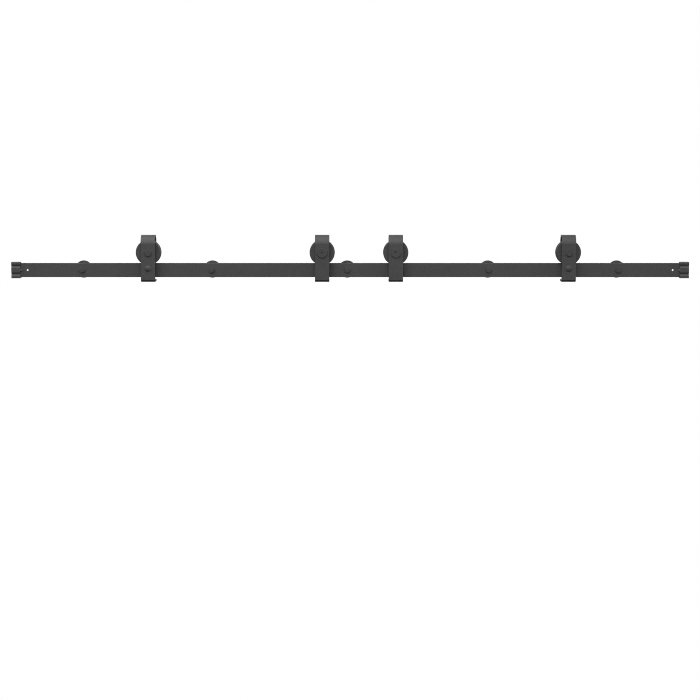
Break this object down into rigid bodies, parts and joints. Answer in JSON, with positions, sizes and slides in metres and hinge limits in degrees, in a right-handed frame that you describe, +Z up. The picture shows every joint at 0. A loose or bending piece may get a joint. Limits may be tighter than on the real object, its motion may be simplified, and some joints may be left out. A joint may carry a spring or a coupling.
{
  "type": "barn door track",
  "caption": "Flat-bar sliding door track on wall spacers, with grooved wheels in hook-over strap hangers and ridged end stops, in matt black.",
  "frame": {"origin": "on the wall plane, at the middle of the rail's length and height", "axes": "+X along the rail to the right as seen from the room, +Y into the wall, +Z up"},
  "size_m": [1.829, 0.1114, 0.1258],
  "materials": {
    "powder_coat": "matt fine-textured powder coat",
    "wheel_coat": "matt powder coat over turned steel",
    "cast_stop": "matt powder coat over a casting",
    "fastener": "black oxide, slightly satin",
    "bearing_steel": "ground bearing steel",
    "rubber": "matt black"
  },
  "bodies": {
    "track": {"rail": "powder_coat", "wall_spacers": "powder_coat", "wall_screws": "fastener", "screw_washers": "fastener", "end_stop_left": "cast_stop", "end_stop_right": "cast_stop", "stop_screws_left": "fastener", "stop_screws_right": "fastener", "stop_nose_left": "rubber", "stop_nose_right": "rubber"},
    "hanger_1": {"strap_1": "powder_coat", "inner_race_1": "bearing_steel", "axle_bolt_1": "fastener", "axle_nut_1": "fastener", "axle_bushes_1": "fastener", "strap_bolt_1": "fastener", "strap_bolt_nut_1": "fastener"},
    "roller_1": {"wheel_1": "wheel_coat", "outer_race_1": "bearing_steel", "bearing_balls_1": "bearing_steel", "bearing_shields_1": "rubber", "snap_ring_1": "fastener"},
    "hanger_2": {"strap_2": "powder_coat", "inner_race_2": "bearing_steel", "axle_bolt_2": "fastener", "axle_nut_2": "fastener", "axle_bushes_2": "fastener"},
    "roller_2": {"wheel_2": "wheel_coat", "outer_race_2": "bearing_steel", "bearing_balls_2": "bearing_steel", "bearing_shields_2": "rubber", "snap_ring_2": "fastener"},
    "hanger_3": {"strap_3": "powder_coat", "inner_race_3": "bearing_steel", "axle_bolt_3": "fastener", "axle_nut_3": "fastener", "axle_bushes_3": "fastener"},
    "roller_3": {"wheel_3": "wheel_coat", "outer_race_3": "bearing_steel", "bearing_balls_3": "bearing_steel", "bearing_shields_3": "rubber", "snap_ring_3": "fastener"},
    "hanger_4": {"strap_4": "powder_coat", "inner_race_4": "bearing_steel", "axle_bolt_4": "fastener", "axle_nut_4": "fastener", "axle_bushes_4": "fastener", "strap_bolt_4": "fastener", "strap_bolt_nut_4": "fastener"},
    "roller_4": {"wheel_4": "wheel_coat", "outer_race_4": "bearing_steel", "bearing_balls_4": "bearing_steel", "bearing_shields_4": "rubber", "snap_ring_4": "fastener"}
  },
  "joints": [
    {"name": "left_door_slide", "type": "slide", "parent": "track", "child": "hanger_1", "axis": [1, 0, 0], "range_m": [-0.3242, 0.065]},
    {"name": "hanger_2_slide", "type": "slide", "parent": "track", "child": "hanger_2", "axis": [1, 0, 0], "range_m": [-0.3242, 0.065]},
    {"name": "right_door_slide", "type": "slide", "parent": "track", "child": "hanger_3", "axis": [1, 0, 0], "range_m": [-0.065, 0.2798]},
    {"name": "hanger_4_slide", "type": "slide", "parent": "track", "child": "hanger_4", "axis": [1, 0, 0], "range_m": [-0.065, 0.2798]},
    {"name": "roller_1_spin", "type": "hinge", "parent": "hanger_1", "child": "roller_1", "pos_m": [-0.5439, -0.038, 0.04805], "axis": [0, 1, 0], "continuous": true},
    {"name": "roller_2_spin", "type": "hinge", "parent": "hanger_2", "child": "roller_2", "pos_m": [-0.0754, -0.038, 0.04805], "axis": [0, 1, 0], "continuous": true},
    {"name": "roller_3_spin", "type": "hinge", "parent": "hanger_3", "child": "roller_3", "pos_m": [0.123, -0.038, 0.04805], "axis": [0, 1, 0], "continuous": true},
    {"name": "roller_4_spin", "type": "hinge", "parent": "hanger_4", "child": "roller_4", "pos_m": [0.5883, -0.038, 0.04805], "axis": [0, 1, 0], "continuous": true}
  ],
  "couplings": [
    {"joint": "hanger_2_slide", "follows": "left_door_slide", "ratio": 1},
    {"joint": "hanger_4_slide", "follows": "right_door_slide", "ratio": 1},
    {"joint": "roller_1_spin", "follows": "left_door_slide", "rad_per_m": 34.483},
    {"joint": "roller_2_spin", "follows": "left_door_slide", "rad_per_m": 34.483},
    {"joint": "roller_3_spin", "follows": "right_door_slide", "rad_per_m": 34.483},
    {"joint": "roller_4_spin", "follows": "right_door_slide", "rad_per_m": 34.483}
  ]
}
